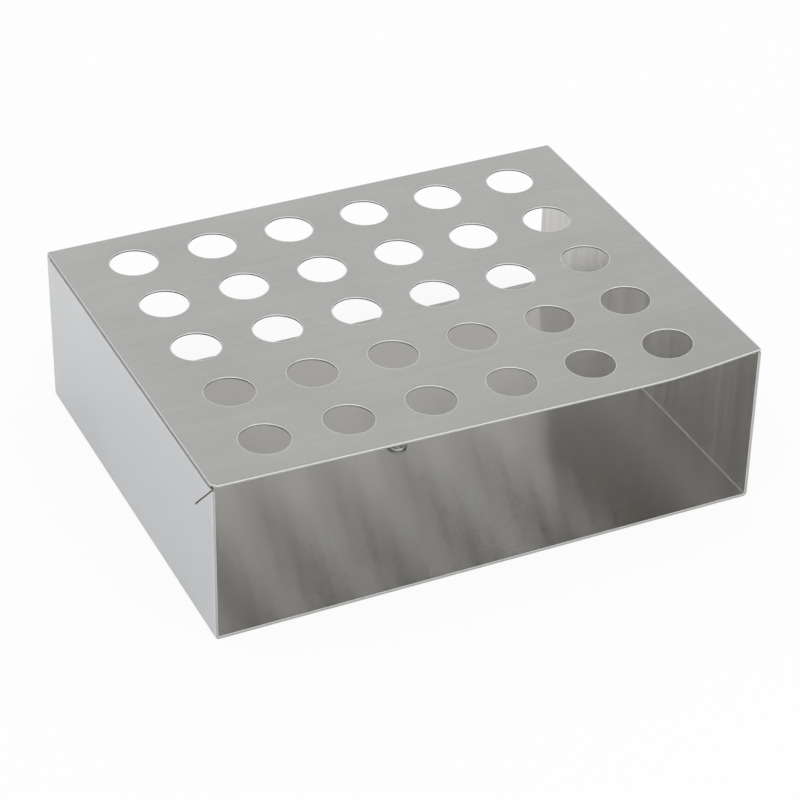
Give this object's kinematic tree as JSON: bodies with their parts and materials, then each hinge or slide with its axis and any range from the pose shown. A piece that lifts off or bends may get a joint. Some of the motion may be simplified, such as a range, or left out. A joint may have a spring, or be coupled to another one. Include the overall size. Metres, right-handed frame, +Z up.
{
  "type": "microcentrifuge tube rack",
  "caption": "Low rack of thin brushed sheet steel, open at the front and back: a folded body carries a flat top pierced by a grid of round holes that hold small sample tubes upright.",
  "frame": {"origin": "middle of the rack's underside", "axes": "+X to the right along the open front, +Y from the open front to the open back, +Z up"},
  "size_m": [0.128, 0.1, 0.039],
  "materials": {
    "body_channel": "fine brushed stainless steel, the lines running from left to right",
    "top_plate": "fine brushed stainless steel, the lines running from left to right",
    "floor_rivet": "smooth bright steel"
  },
  "bodies": {
    "root": {"body_channel": "body_channel", "top_plate": "top_plate", "floor_rivet": "floor_rivet"}
  },
  "joints": []
}
